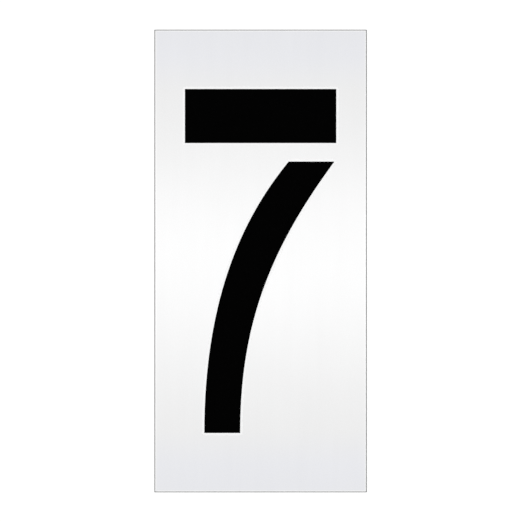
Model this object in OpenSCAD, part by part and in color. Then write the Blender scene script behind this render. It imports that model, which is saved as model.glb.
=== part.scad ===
// Lettering stencil for the figure seven: a flat plastic sheet with two openings, on a loose card.
// Millimetres. It lies flat, +Y is the top of the figure and the origin is under the card's middle.

/* [Bar of the seven] */
// Length of the bar's opening
bar_w = 134.4; // [110:0.1:200]
// Height of the bar's opening
bar_h = 48; // [16:0.5:80]

/* [Leg of the seven] */
// Height of the leg's opening, from its foot to its head
leg_h = 241; // [200:0.5:340]
// Width of the opening along the foot
foot_w = 31.9; // [20:0.1:40]
// Width of the opening along the head
head_w = 40.7; // [30:0.1:46]
// Distance from the bar's left end to the foot's left corner
foot_inset = 17.2; // [4:0.1:26]
// Distance from the head's right corner to the bar's right end
head_inset = 1.6; // [0:0.1:8]

/* [Sweep of the leg's left side] */
// How strongly the side keeps straight up where it leaves the foot
left_foot_pull = 131.4; // [110:0.1:150]
// How far to the left the side leans just below the head
left_head_run = 33.1; // [22:0.1:40]
// How far down that lean reaches
left_head_drop = 40.6; // [26:0.1:50]

/* [Sweep of the leg's right side] */
// How strongly the side keeps straight up where it leaves the foot
right_foot_pull = 98; // [80:0.1:115]
// How far to the left the side leans just below the head
right_head_run = 56.3; // [48:0.1:66]
// How far down that lean reaches
right_head_drop = 76.5; // [60:0.1:90]

/* [Smoothness of the sweep] */
// Number of straight facets along each side of the leg
sweep_steps = 36; // [12:1:80]

/* [Sheet around the figure] */
// Bridge of plastic between the bar and the leg
bridge_h = 16.4; // [6:0.1:40]
// Width of the sheet beside each end of the bar
side_margin = 26.5; // [15:0.1:80]
// Height of the sheet above the bar and below the leg
end_margin = 52.1; // [20:0.1:120]
// Thickness of the plastic
sheet_t = 1.5; // [0.5:0.1:4]

/* [Backing card] */
// Thickness of the card
card_t = 1; // [0.4:0.1:4]
// How far the card's edge shows past the sheet
card_border = 0.5; // [0.2:0.1:10]

/* [Hidden] */

sheet_w = bar_w + 2 * side_margin;
sheet_h = bar_h + bridge_h + leg_h + 2 * end_margin;
bar_left = -bar_w / 2;
bar_right = bar_w / 2;
bar_bottom = sheet_h / 2 - end_margin - bar_h;
foot_y = end_margin - sheet_h / 2;
head_y = foot_y + leg_h;

left_side = [
    [bar_left + foot_inset, foot_y],
    [bar_left + foot_inset, foot_y + left_foot_pull],
    [bar_right - head_inset - head_w - left_head_run, head_y - left_head_drop],
    [bar_right - head_inset - head_w, head_y]
];
right_side = [
    [bar_left + foot_inset + foot_w, foot_y],
    [bar_left + foot_inset + foot_w, foot_y + right_foot_pull],
    [bar_right - head_inset - right_head_run, head_y - right_head_drop],
    [bar_right - head_inset, head_y]
];

// How far a cutting shape runs past each face that it cuts
cut_through = 1;

// Point of a cubic curve with four control points, at t from 0 to 1
function curve_point(p, t) =
    let (s = 1 - t)
    s * s * s * p[0] + 3 * s * s * t * p[1] + 3 * s * t * t * p[2] + t * t * t * p[3];

// One side of the leg, from its foot to its head
function side_points(p) = [for (i = [0 : sweep_steps]) curve_point(p, i / sweep_steps)];

function reversed(points) = [for (i = [len(points) - 1 : -1 : 0]) points[i]];

module bar_outline() {
    translate([bar_left, bar_bottom])
        square([bar_w, bar_h]);
}

module leg_outline() {
    polygon(concat(side_points(left_side), reversed(side_points(right_side))));
}

module centred_plate(w, h, t) {
    translate([-w / 2, -h / 2, 0])
        cube([w, h, t]);
}

module stencil_sheet() {
    color("whitesmoke")
        translate([0, 0, card_t])
            difference() {
                centred_plate(sheet_w, sheet_h, sheet_t);
                translate([0, 0, -cut_through])
                    linear_extrude(height = sheet_t + 2 * cut_through) {
                        bar_outline();
                        leg_outline();
                    }
            }
}

module backing_card() {
    color("black")
        centred_plate(sheet_w + 2 * card_border, sheet_h + 2 * card_border, card_t);
}

stencil_sheet();
backing_card();
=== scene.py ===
"""Looks of the lettering stencil: a cut plastic sheet lying on a loose black card, seen from above."""

import math

import bmesh
import bpy
from bpy.props import FloatProperty, FloatVectorProperty, PointerProperty
from mathutils import Matrix, Vector


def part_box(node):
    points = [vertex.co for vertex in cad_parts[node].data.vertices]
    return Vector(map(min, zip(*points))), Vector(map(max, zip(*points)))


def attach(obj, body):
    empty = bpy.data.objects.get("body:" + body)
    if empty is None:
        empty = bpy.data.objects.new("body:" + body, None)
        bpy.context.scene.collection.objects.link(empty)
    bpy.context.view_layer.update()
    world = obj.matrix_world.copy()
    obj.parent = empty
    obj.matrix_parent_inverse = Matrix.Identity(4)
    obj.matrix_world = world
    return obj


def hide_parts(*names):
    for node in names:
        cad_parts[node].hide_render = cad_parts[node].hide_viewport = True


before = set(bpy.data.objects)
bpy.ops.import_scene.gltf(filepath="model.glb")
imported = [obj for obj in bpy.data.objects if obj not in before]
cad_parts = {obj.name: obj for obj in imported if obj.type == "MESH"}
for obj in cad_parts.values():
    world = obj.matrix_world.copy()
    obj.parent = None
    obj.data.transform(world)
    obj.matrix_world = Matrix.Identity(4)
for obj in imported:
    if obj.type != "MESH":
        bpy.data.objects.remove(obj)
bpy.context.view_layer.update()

bl_info = {
    "name": "Lettering Stencil",
    "version": (1, 0, 0),
    "blender": (4, 5, 0),
    "location": "3D View > Sidebar > Stencil",
    "description": "Builds the cut plastic sheet, its backing card and the table that they lie on",
    "category": "Object",
}

# Lengths are in metres
MM = 0.001


# Sizes and colours that a user would change

class SheetLook(bpy.types.PropertyGroup):
    """Edges and plastic of the cut sheet."""

    corner_radius: FloatProperty(
        name="Corner radius",
        description="Rounding of the sheet's four corners, in plan",
        default=0.6 * MM,
        unit="LENGTH",
    )
    opening_corner_radius: FloatProperty(
        name="Opening corner radius",
        description="Rounding of the corners of the openings, in plan",
        default=0.25 * MM,
        unit="LENGTH",
    )
    rim_width: FloatProperty(
        name="Rim width",
        description="Width of the rounded arris along the outside of the sheet",
        default=0.45 * MM,
        unit="LENGTH",
    )
    rim_drop: FloatProperty(
        name="Rim drop",
        description="How far that arris falls towards the edge",
        default=0.45 * MM,
        unit="LENGTH",
    )
    lip_width: FloatProperty(
        name="Lip width",
        description="Width of the rolled lip that the cutter leaves round each opening",
        default=2.0 * MM,
        unit="LENGTH",
    )
    lip_drop: FloatProperty(
        name="Lip drop",
        description="How far the lip falls towards the opening",
        default=0.07 * MM,
        unit="LENGTH",
    )
    under_edge: FloatProperty(
        name="Under edge",
        description="Softening of the edges against the card",
        default=0.1 * MM,
        unit="LENGTH",
    )
    face_colour: FloatVectorProperty(
        name="Face",
        description="Colour of the plastic's face",
        subtype="COLOR",
        size=3,
        default=(0.884, 0.884, 0.886),
    )
    # Painted shade: the face is drawn cooler and a little darker near the sheet's two ends, standing in
    # for the lamp's light falling off there.
    end_shade_colour: FloatVectorProperty(
        name="Face at the ends",
        description="Cooler colour of the plastic near the sheet's two ends",
        subtype="COLOR",
        size=3,
        default=(0.863, 0.870, 0.905),
    )
    # Painted shade: how far the cooler, darker end colour reaches in from each end.
    end_shade_reach: FloatProperty(
        name="Reach of the end colour",
        description="Distance from each end at which the cooler colour has faded out",
        default=54 * MM,
        unit="LENGTH",
    )
    cut_colour: FloatVectorProperty(
        name="Cut edge",
        description="Colour of the plastic where it was cut",
        subtype="COLOR",
        size=3,
        default=(0.985, 0.986, 0.989),
    )
    # A lighter band along the outside edge: within this reach the face turns towards the cut colour.
    edge_band_reach: FloatProperty(
        name="Reach of the rubbing",
        description="Distance from the outside edge over which handling has rubbed the face lighter",
        default=1.7 * MM,
        unit="LENGTH",
    )


class CardLook(bpy.types.PropertyGroup):
    """Edges and stock of the backing card."""

    corner_radius: FloatProperty(
        name="Corner radius",
        description="Rounding of the card's four corners, in plan",
        default=0.2 * MM,
        unit="LENGTH",
    )
    edge_radius: FloatProperty(
        name="Edge radius",
        description="Softening of the card's upper and lower edges",
        default=0.12 * MM,
        unit="LENGTH",
    )
    stock_colour: FloatVectorProperty(
        name="Stock",
        description="Colour of the dyed fibres",
        subtype="COLOR",
        size=3,
        default=(0.0004, 0.0004, 0.0004),
    )
    fibre_colour: FloatVectorProperty(
        name="Fibre",
        description="Colour of the few paler fibres",
        subtype="COLOR",
        size=3,
        default=(0.0024, 0.0024, 0.0025),
    )
    fibre_depth: FloatProperty(
        name="Fibre depth",
        description="Depth of the relief that the fibres make on the card's two faces",
        default=0.15 * MM,
        unit="LENGTH",
    )
    bloom: FloatProperty(
        name="Bloom",
        description="How much light the loose fibre ends catch when the card is seen at a low angle",
        default=0.12,
        subtype="FACTOR",
        min=0.0,
        max=1.0,
    )


class StageLook(bpy.types.PropertyGroup):
    """Table, light and camera."""

    frame_height: FloatProperty(
        name="Frame height",
        description="Height of the picture where it meets the sheet's face",
        default=463.3 * MM,
        unit="LENGTH",
    )
    sheet_centre_px: FloatProperty(
        name="Sheet centre",
        description="Pixel column of the photograph at which the sheet's middle lies",
        default=260.6,
    )
    lens: FloatProperty(
        name="Lens",
        description="Focal length in millimetres, long enough for a flat view",
        default=200.0,
    )
    strip_length: FloatProperty(
        name="Strip length",
        description="Length of the strip lamp, across the sheet",
        default=1.6,
        unit="LENGTH",
    )
    strip_width: FloatProperty(
        name="Strip width",
        description="Width of the strip lamp, along the sheet",
        default=0.15,
        unit="LENGTH",
    )
    strip_height: FloatProperty(
        name="Strip height",
        description="Height of the strip lamp above the table",
        default=1.5,
        unit="LENGTH",
    )
    strip_power: FloatProperty(
        name="Strip power",
        description="Power of the strip lamp",
        default=11.3,
        unit="POWER",
    )
    sky_strength: FloatProperty(
        name="Room light",
        description="Strength of the even light from all around",
        default=0.452,
    )
    table_colour: FloatVectorProperty(
        name="Table",
        description="Colour of the pale table",
        subtype="COLOR",
        size=3,
        default=(0.8, 0.8, 0.8),
    )


# Shader maths

# Places of a Mix node's colour sockets, whose names it uses for other kinds too
COLOUR_A, COLOUR_B, COLOUR_RESULT = 6, 7, 2


class Signal:
    """A node's output socket. Arithmetic on signals and numbers adds Math nodes."""

    def __init__(self, graph, socket):
        self.graph = graph
        self.socket = socket

    def maths(self, operation, *values):
        """A Math node on these values, each a signal or a number."""
        sockets = dict(enumerate(values))
        return self.graph.node("ShaderNodeMath", {"operation": operation}, sockets)[0]

    def __add__(self, other):
        return self.maths("ADD", self, other)

    def __radd__(self, other):
        return self.maths("ADD", other, self)

    def __sub__(self, other):
        return self.maths("SUBTRACT", self, other)

    def __rsub__(self, other):
        return self.maths("SUBTRACT", other, self)

    def __mul__(self, other):
        return self.maths("MULTIPLY", self, other)

    def __rmul__(self, other):
        return self.maths("MULTIPLY", other, self)

    def either(self, other):
        return self.maths("MAXIMUM", self, other)

    def least(self, other):
        return self.maths("MINIMUM", self, other)

    def size(self):
        return self.maths("ABSOLUTE", self)

    def between(self, low, high):
        """A signal from 0 to 1, turned into one from low to high."""
        return low + (high - low) * self


class Outputs:
    """The outputs of a node, as signals, by place or by name."""

    def __init__(self, graph, made):
        self.graph = graph
        self.made = made

    def __getitem__(self, key):
        return Signal(self.graph, self.made.outputs[key])


class Graph:
    """The node tree of a material or world."""

    def __init__(self, owner):
        owner.use_nodes = True
        self.tree = owner.node_tree
        self.tree.nodes.clear()

    def node(self, kind, settings=None, values=None):
        """Adds a node, applies its settings, then sets or links its inputs."""
        made = self.tree.nodes.new(kind)
        for name, setting in (settings or {}).items():
            setattr(made, name, setting)
        for key, value in (values or {}).items():
            if isinstance(value, Signal):
                self.tree.links.new(value.socket, made.inputs[key])
            else:
                made.inputs[key].default_value = value
        return Outputs(self, made)

    def where(self):
        """The object's own coordinates, in metres."""
        return self.node("ShaderNodeTexCoord")["Object"]

    def axis(self, name):
        """One of the object's own coordinates, in metres."""
        return self.node("ShaderNodeSeparateXYZ", None, {"Vector": self.where()})[name]

    def noise(self, scale, detail=2.0, distortion=0.0):
        """Noise from 0 to 1, with its scale for each axis in features to the metre."""
        stretched = {0: self.where(), 1: scale}
        values = {
            "Vector": self.node("ShaderNodeVectorMath", {"operation": "MULTIPLY"}, stretched)[0],
            "Scale": 1.0,
            "Detail": detail,
            "Distortion": distortion,
        }
        return self.node("ShaderNodeTexNoise", None, values)["Fac"]

    def ramp(self, factor, low, high):
        """The factor, stretched so that low gives 0 and high gives 1."""
        values = {"Value": factor, "From Min": low, "From Max": high}
        return self.node("ShaderNodeMapRange", {"clamp": True}, values)["Result"]

    def mix(self, factor, first, second):
        """A colour between two colours."""
        values = {"Factor": factor, COLOUR_A: first, COLOUR_B: second}
        return self.node("ShaderNodeMix", {"data_type": "RGBA"}, values)[COLOUR_RESULT]

    def bump(self, height, depth, finer=None):
        """Relief of some depth, laid over a finer relief if there is one."""
        values = {"Height": height, "Distance": depth}
        if finer is not None:
            values["Normal"] = finer
        return self.node("ShaderNodeBump", None, values)["Normal"]

    def principled(self, values):
        """Ends the material in one Principled shader."""
        self.surface(self.node("ShaderNodeBsdfPrincipled", None, values)["BSDF"])

    def surface(self, shader, kind="ShaderNodeOutputMaterial"):
        """Ends the material, or the world with its own kind of output, in a shader."""
        self.node(kind, None, {"Surface": shader})


def rgba(colour, share=1.0):
    """A share of a colour, with full opacity."""
    return (*(min(1.0, part * share) for part in colour), 1.0)


def new_material(name):
    made = bpy.data.materials.new(name)
    return made, Graph(made)


# Finishes

# A scale gives a noise's features to the metre along each axis.
# A span gives the two values of a noise between which one tone turns into the other.
PLASTIC_IOR = 1.51
STREAK_SCALE = (90.0, 7.0, 7.0)
CLOUD_SCALE = (14.0, 14.0, 14.0)
TONE_SPAN = (0.35, 0.65)
FACE_SHADES = (0.990, 1.012)
END_SHADE_CORE_SHARE = 0.45
# Noise that makes the lighter edge band uneven, and the range of its strength.
BAND_VARIATION_SCALE = (60.0, 60.0, 60.0)
BAND_VARIATION_RANGE = (0.6, 1.4)
GRAIN_SCALE = (2600.0, 2600.0, 2600.0)
GRAIN_DEPTH = 0.004 * MM
PEEL_SCALE = (260.0, 190.0, 260.0)
PEEL_DEPTH = 0.008 * MM
FACE_ROUGHNESS = (0.24, 0.30)


def plastic_face(look):
    """Calendered plastic: a soft sheen over a very fine grain, with faint streaks along the roll,
    painted shade that turns the face cooler and darker towards both ends, and a lighter band along the
    outside edge.
    """
    made, graph = new_material("white_plastic_face")
    streaks = graph.noise(STREAK_SCALE, detail=4.0)
    clouds = graph.noise(CLOUD_SCALE)
    tone = graph.ramp((streaks + clouds) * 0.5, *TONE_SPAN)
    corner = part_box("stencil_sheet")[1]
    across, along = graph.axis("X").size(), graph.axis("Y").size()
    # Painted shade: towards each end the face's colour turns to the cooler, darker end colour.
    end_shade_core = look.end_shade_reach * END_SHADE_CORE_SHARE
    end_shade = graph.ramp(along, corner.y - look.end_shade_reach, corner.y - end_shade_core)
    shades = [
        graph.mix(end_shade, rgba(look.face_colour, share), rgba(look.end_shade_colour, share))
        for share in FACE_SHADES
    ]
    # Lighter band along the outside edge: near the rim the face turns unevenly towards the cut colour.
    inside = (corner.x - across).least(corner.y - along)
    band_variation = graph.noise(BAND_VARIATION_SCALE).between(*BAND_VARIATION_RANGE)
    edge_band = graph.ramp(inside, look.edge_band_reach, look.rim_width) * band_variation
    grain = graph.noise(GRAIN_SCALE)
    peel = graph.noise(PEEL_SCALE)
    graph.principled({
        "Base Color": graph.mix(edge_band, graph.mix(tone, *shades), rgba(look.cut_colour)),
        "Roughness": grain.between(*FACE_ROUGHNESS),
        "IOR": PLASTIC_IOR,
        "Normal": graph.bump(peel, PEEL_DEPTH, finer=graph.bump(grain, GRAIN_DEPTH)),
    })
    return made


BLADE_SCALE = (2400.0, 2400.0, 110.0)
BLADE_DEPTH = 0.03 * MM
STRESS_SCALE = (420.0, 420.0, 420.0)
STRESS_SPAN = (0.3, 0.7)
DULL_SHARE = 0.97
CUT_ROUGHNESS = (0.34, 0.48)


def plastic_cut(look):
    """Cut plastic: whiter than the face, with the fine upright marks of the blade."""
    made, graph = new_material("white_plastic_cut")
    marks = graph.noise(BLADE_SCALE, detail=3.0)
    stress = graph.ramp(graph.noise(STRESS_SCALE), *STRESS_SPAN)
    graph.principled({
        "Base Color": graph.mix(stress, rgba(look.cut_colour, DULL_SHARE), rgba(look.cut_colour)),
        "Roughness": marks.between(*CUT_ROUGHNESS),
        "IOR": PLASTIC_IOR,
        "Normal": graph.bump(marks, BLADE_DEPTH),
    })
    return made


BLOOM_ROUGHNESS = 0.3


def dyed_stock(graph, look, pattern, span, depth):
    """What the card's faces and its cut edge share: colours, bloom and relief, all after one pattern."""
    dye = graph.ramp(pattern, *span)
    return {
        "Base Color": graph.mix(dye, rgba(look.stock_colour), rgba(look.fibre_colour)),
        "Sheen Weight": look.bloom,
        "Sheen Roughness": BLOOM_ROUGHNESS,
        "Normal": graph.bump(pattern, depth),
    }


LENGTHWISE_SCALE = (2400.0, 260.0, 900.0)
CROSSWISE_SCALE = (300.0, 2100.0, 900.0)
FIBRE_CURL = 0.6
FIBRE_SPAN = (0.58, 0.80)
CARD_ROUGHNESS = (0.84, 0.96)
CARD_GLOSS = 0.01


def card_face(look):
    """Uncoated card, dyed through: matt black with short crossing fibres."""
    made, graph = new_material("black_card_face")
    lengthwise = graph.noise(LENGTHWISE_SCALE, detail=3.0, distortion=FIBRE_CURL)
    crosswise = graph.noise(CROSSWISE_SCALE, detail=3.0, distortion=FIBRE_CURL)
    fibres = lengthwise.either(crosswise)
    graph.principled({
        **dyed_stock(graph, look, fibres, FIBRE_SPAN, look.fibre_depth),
        "Roughness": fibres.between(*CARD_ROUGHNESS),
        "Specular IOR Level": CARD_GLOSS,
    })
    return made


PLY_SCALE = (160.0, 160.0, 5200.0)
PLY_SPAN = (0.35, 0.70)
PLY_DEPTH = 0.05 * MM
CARD_EDGE_ROUGHNESS = 0.92
CARD_EDGE_GLOSS = 0.04


def card_edge(look):
    """The card's cut edge: the plies show as fine level lines."""
    made, graph = new_material("black_card_edge")
    graph.principled({
        **dyed_stock(graph, look, graph.noise(PLY_SCALE), PLY_SPAN, PLY_DEPTH),
        "Roughness": CARD_EDGE_ROUGHNESS,
        "Specular IOR Level": CARD_EDGE_GLOSS,
    })
    return made


# Outlines, taken from the upper face of a CAD node

WELD_DISTANCE = 0.001 * MM
LEVEL_TOLERANCE = 0.01 * MM
# Least part of its length that the normal of an upward face has along Z
UPWARD = 0.9
STRAIGHT_ANGLE = math.radians(0.02)
CORNER_ANGLE = math.radians(20)
CORNER_STEPS = 5


def face_outlines(node):
    """Closed outlines of the node's upper face, each a list of points with the solid on its left."""
    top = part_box(node)[1].z
    work = bmesh.new()
    work.from_mesh(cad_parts[node].data)
    bmesh.ops.remove_doubles(work, verts=work.verts, dist=WELD_DISTANCE)
    work.normal_update()
    following = {}
    for face in work.faces:
        level = abs(face.calc_center_median().z - top) < LEVEL_TOLERANCE
        if level and face.normal.z > UPWARD:
            for corner in face.loops:
                follows = (corner.vert.index, corner.link_loop_next.vert.index)
                following[follows] = corner.vert.co.xy.copy()
    rim = {a: (b, point) for (a, b), point in following.items() if (b, a) not in following}
    work.free()
    outlines = []
    while rim:
        start, (at, point) = rim.popitem()
        outline = [point]
        while at != start:
            at, point = rim.pop(at)
            outline.append(point)
        outlines.append(outline)
    return sorted(outlines, key=enclosed_area, reverse=True)


def enclosed_area(outline):
    """Area inside an outline, positive for the outside of the face and negative for an opening."""
    pairs = zip(outline, outline[1:] + outline[:1])
    return sum(a.cross(b) for a, b in pairs) / 2


def with_directions(outline):
    """Each point of a closed outline, with the directions in which the outline reaches and leaves it."""
    for n, point in enumerate(outline):
        before = (point - outline[n - 1]).normalized()
        after = (outline[(n + 1) % len(outline)] - point).normalized()
        yield point, before, after


def left_of(direction):
    return Vector((-direction.y, direction.x))


def without_straight_points(outline):
    """The outline without the points in the middle of its straight stretches."""
    return [
        point
        for point, before, after in with_directions(outline)
        if before.angle(after) > STRAIGHT_ANGLE
    ]


def round_corners(outline, radius):
    """The outline with each corner sharper than CORNER_ANGLE turned into an arc."""
    rounded = []
    for point, before, after in with_directions(outline):
        turn = before.angle_signed(after)
        if abs(turn) < CORNER_ANGLE:
            rounded.append(point)
            continue
        inward = left_of(before) * (-1 if turn > 0 else 1)
        start = point - before * radius * math.tan(abs(turn) / 2)
        centre = start + inward * radius
        for step in range(CORNER_STEPS + 1):
            swing = Matrix.Rotation(-turn * step / CORNER_STEPS, 2)
            rounded.append(centre + swing @ (-inward * radius))
    return rounded


def inset(outline, distance):
    """The outline moved to its left, into the solid, with mitred corners."""
    moved = []
    for point, before, after in with_directions(outline):
        left, next_left = left_of(before), left_of(after)
        moved.append(point + (left + next_left) * distance / (1 + left.dot(next_left)))
    return moved


# Plates

# Places of the two finishes among a plate's materials
FACE, CUT = 0, 1

ARRIS_STEPS = 5
# A flat ring this wide inside each rounded edge keeps the faces' shading flat.
# Along the outside of a plate, the edge's width and this ring together stay under the corner radius.
FLAT_MARGIN = 0.05 * MM
SHARP_ANGLE = math.radians(35)


def edge_section(low, high, width, drop, under):
    """From the upper face round the edge to the lower face: (inset, height) of each ring."""
    turns = [math.pi / 2 * n / ARRIS_STEPS for n in range(ARRIS_STEPS + 1)]
    upper = [(width * (1 - math.sin(a)), high - drop * (1 - math.cos(a))) for a in turns]
    lower = [(under * (1 - math.cos(a)), low + under * (1 - math.sin(a))) for a in turns]
    return [(width + FLAT_MARGIN, high), *upper, *lower, (under + FLAT_MARGIN, low)]


def add_edge(work, outline, section):
    """Walls round one outline. Returns the edges of its first and its last ring."""
    rings = []
    for distance, height in section:
        points = inset(outline, distance)
        rings.append([work.verts.new((p.x, p.y, height)) for p in points])
    count = len(outline)
    for level, (upper, lower) in enumerate(zip(rings, rings[1:])):
        for n in range(count):
            m = (n + 1) % count
            wall = work.faces.new((upper[n], lower[n], lower[m], upper[m]))
            flat = level in (0, len(rings) - 2)
            wall.material_index = FACE if flat else CUT
            wall.smooth = True
    ends = []
    for ring in (rings[0], rings[-1]):
        ends.append([work.edges.get((ring[n], ring[(n + 1) % count])) for n in range(count)])
    return ends


def cover(work, edges, up):
    """Fills the flat face between some rings."""
    filled = bmesh.ops.triangle_fill(work, use_beauty=True, edges=edges, normal=(0, 0, up))
    for face in filled["geom"]:
        if isinstance(face, bmesh.types.BMFace):
            face.material_index = FACE
            face.smooth = True
            if face.normal.z * up < 0:
                face.normal_flip()


def add_plate(name, edged_outlines, materials):
    """A flat plate from its outlines, each with its own edge section."""
    work = bmesh.new()
    upper_edges, lower_edges = [], []
    for outline, section in edged_outlines:
        upper, lower = add_edge(work, outline, section)
        upper_edges += upper
        lower_edges += lower
    cover(work, upper_edges, 1)
    cover(work, lower_edges, -1)
    work.normal_update()
    open_edges = [e for e in work.edges if len(e.link_faces) != 2]
    if open_edges:
        raise RuntimeError(f"{name} has {len(open_edges)} open edges")
    mesh = bpy.data.meshes.new(name)
    work.to_mesh(mesh)
    work.free()
    mesh.set_sharp_from_angle(angle=SHARP_ANGLE)
    for material in materials:
        mesh.materials.append(material)
    made = bpy.data.objects.new(name, mesh)
    bpy.context.scene.collection.objects.link(made)
    return made


class STENCIL_OT_add_sheet(bpy.types.Operator):
    """Builds the cut plastic sheet from the outlines of its CAD solid"""

    bl_idname = "stencil.add_sheet"
    bl_label = "Cut Plastic Sheet"

    def execute(self, context):
        look = context.scene.stencil_sheet_look
        low, high = (corner.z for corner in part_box("stencil_sheet"))
        under = look.under_edge
        rim = edge_section(low, high, look.rim_width, look.rim_drop, under)
        lip = edge_section(low, high, look.lip_width, look.lip_drop, under)
        outside, *openings = map(without_straight_points, face_outlines("stencil_sheet"))
        edged = [(round_corners(outside, look.corner_radius), rim)]
        for opening in openings:
            edged.append((round_corners(opening, look.opening_corner_radius), lip))
        made = add_plate("plastic_sheet", edged, [plastic_face(look), plastic_cut(look)])
        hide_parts("stencil_sheet")
        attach(made, "stencil")
        return {"FINISHED"}


class STENCIL_OT_add_card(bpy.types.Operator):
    """Builds the backing card from the outline of its CAD solid"""

    bl_idname = "stencil.add_card"
    bl_label = "Backing Card"

    def execute(self, context):
        look = context.scene.stencil_card_look
        low, high = (corner.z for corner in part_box("backing_card"))
        radius = look.edge_radius
        section = edge_section(low, high, radius, radius, radius)
        outside = without_straight_points(face_outlines("backing_card")[0])
        edged = [(round_corners(outside, look.corner_radius), section)]
        made = add_plate("card_board", edged, [card_face(look), card_edge(look)])
        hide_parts("backing_card")
        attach(made, "card")
        return {"FINISHED"}


# Stage

PHOTO_PX = 522
SENSOR_MM = 36.0
WHITE = (1.0, 1.0, 1.0)
# Strength at which a surface or the room shows as plain white
PAGE_STRENGTH = 1.0
TABLE_SIZE = 12.0
TABLE_GLOW = 0.38
TABLE_GRAIN_SCALE = (700.0, 700.0, 700.0)
TABLE_GRAIN_DEPTH = 0.01 * MM
# Distances from the middle between which the table turns plain white
FADE_SPAN = (0.4, 1.1)


def lit_or_seen(graph, lit, seen):
    """One shader for the light that a surface gives, another for rays that look at it."""
    path = graph.node("ShaderNodeLightPath")
    looks = path["Is Camera Ray"].either(path["Is Glossy Ray"]).either(path["Is Transmission Ray"])
    return graph.node("ShaderNodeMixShader", None, {0: looks, 1: lit, 2: seen})["Shader"]


def table_finish(look):
    """Pale board that keeps the shadow near the stencil and turns plain white further out."""
    made, graph = new_material("pale_table")
    relief = graph.bump(graph.noise(TABLE_GRAIN_SCALE, detail=3.0), TABLE_GRAIN_DEPTH)
    values = {"Color": rgba(look.table_colour), "Normal": relief}
    board = graph.node("ShaderNodeBsdfDiffuse", None, values)["BSDF"]
    glow = graph.node("ShaderNodeEmission", None, {"Strength": TABLE_GLOW})["Emission"]
    page = graph.node("ShaderNodeAddShader", None, {0: board, 1: glow})["Shader"]
    blank = graph.node("ShaderNodeEmission", None, {"Strength": PAGE_STRENGTH})["Emission"]
    away = graph.node("ShaderNodeVectorMath", {"operation": "LENGTH"}, {0: graph.where()})["Value"]
    fade = graph.ramp(away, *FADE_SPAN)
    seen = graph.node("ShaderNodeMixShader", None, {0: fade, 1: page, 2: blank})["Shader"]
    graph.surface(lit_or_seen(graph, board, seen))
    return made


class STENCIL_OT_add_stage(bpy.types.Operator):
    """Sets the table, the room light, the strip lamp and the camera"""

    bl_idname = "stencil.add_stage"
    bl_label = "Stage"

    def execute(self, context):
        look = context.scene.stencil_stage_look
        self.add_table(context, look)
        self.light_room(context, look)
        self.add_strip(context, look)
        self.add_camera(context, look)
        return {"FINISHED"}

    def add_table(self, context, look):
        work = bmesh.new()
        bmesh.ops.create_grid(work, x_segments=1, y_segments=1, size=TABLE_SIZE / 2)
        mesh = bpy.data.meshes.new("table")
        work.to_mesh(mesh)
        work.free()
        mesh.materials.append(table_finish(look))
        table = bpy.data.objects.new("table", mesh)
        context.scene.collection.objects.link(table)

    def light_room(self, context, look):
        world = bpy.data.worlds.new("room")
        graph = Graph(world)
        room, page = (
            graph.node(
                "ShaderNodeBackground", None, {"Color": rgba(WHITE), "Strength": strength}
            )["Background"]
            for strength in (look.sky_strength, PAGE_STRENGTH)
        )
        graph.surface(lit_or_seen(graph, room, page), "ShaderNodeOutputWorld")
        context.scene.world = world

    def add_strip(self, context, look):
        lamp = bpy.data.lights.new("strip_lamp", "AREA")
        lamp.shape = "RECTANGLE"
        lamp.size = look.strip_length
        lamp.size_y = look.strip_width
        lamp.energy = look.strip_power
        strip = bpy.data.objects.new("strip_lamp", lamp)
        strip.location = (0, 0, look.strip_height)
        strip.visible_camera = False
        context.scene.collection.objects.link(strip)

    def add_camera(self, context, look):
        low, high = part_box("stencil_sheet")
        lens = bpy.data.cameras.new("camera")
        lens.lens = look.lens
        lens.sensor_width = SENSOR_MM
        camera = bpy.data.objects.new("camera", lens)
        aside = (PHOTO_PX / 2 - look.sheet_centre_px) * look.frame_height / PHOTO_PX
        distance = look.frame_height * look.lens / SENSOR_MM
        middle = (low + high) / 2
        camera.location = (middle.x + aside, middle.y, high.z + distance)
        context.scene.collection.objects.link(camera)
        context.scene.camera = camera
        context.scene.view_settings.view_transform = "Standard"


class STENCIL_PT_build(bpy.types.Panel):
    """Lists the stencil's pieces and stage"""

    bl_idname = "STENCIL_PT_build"
    bl_label = "Lettering Stencil"
    bl_space_type = "VIEW_3D"
    bl_region_type = "UI"
    bl_category = "Stencil"

    def draw(self, context):
        for name, group, step in BUILD_STEPS:
            box = self.layout.box()
            look = getattr(context.scene, name)
            for size_or_colour in group.__annotations__:
                box.prop(look, size_or_colour)
            box.operator(step.bl_idname)


# Each step's settings, as the scene names them, their class, and the operator that reads them
BUILD_STEPS = (
    ("stencil_sheet_look", SheetLook, STENCIL_OT_add_sheet),
    ("stencil_card_look", CardLook, STENCIL_OT_add_card),
    ("stencil_stage_look", StageLook, STENCIL_OT_add_stage),
)


def register():
    for name, group, step in BUILD_STEPS:
        bpy.utils.register_class(group)
        bpy.utils.register_class(step)
        setattr(bpy.types.Scene, name, PointerProperty(type=group))
    bpy.utils.register_class(STENCIL_PT_build)


def unregister():
    bpy.utils.unregister_class(STENCIL_PT_build)
    for name, group, step in reversed(BUILD_STEPS):
        delattr(bpy.types.Scene, name)
        bpy.utils.unregister_class(step)
        bpy.utils.unregister_class(group)


def main():
    register()
    bpy.ops.stencil.add_sheet()
    bpy.ops.stencil.add_card()
    bpy.ops.stencil.add_stage()
    bpy.context.view_layer.update()


if __name__ == "__main__":
    main()
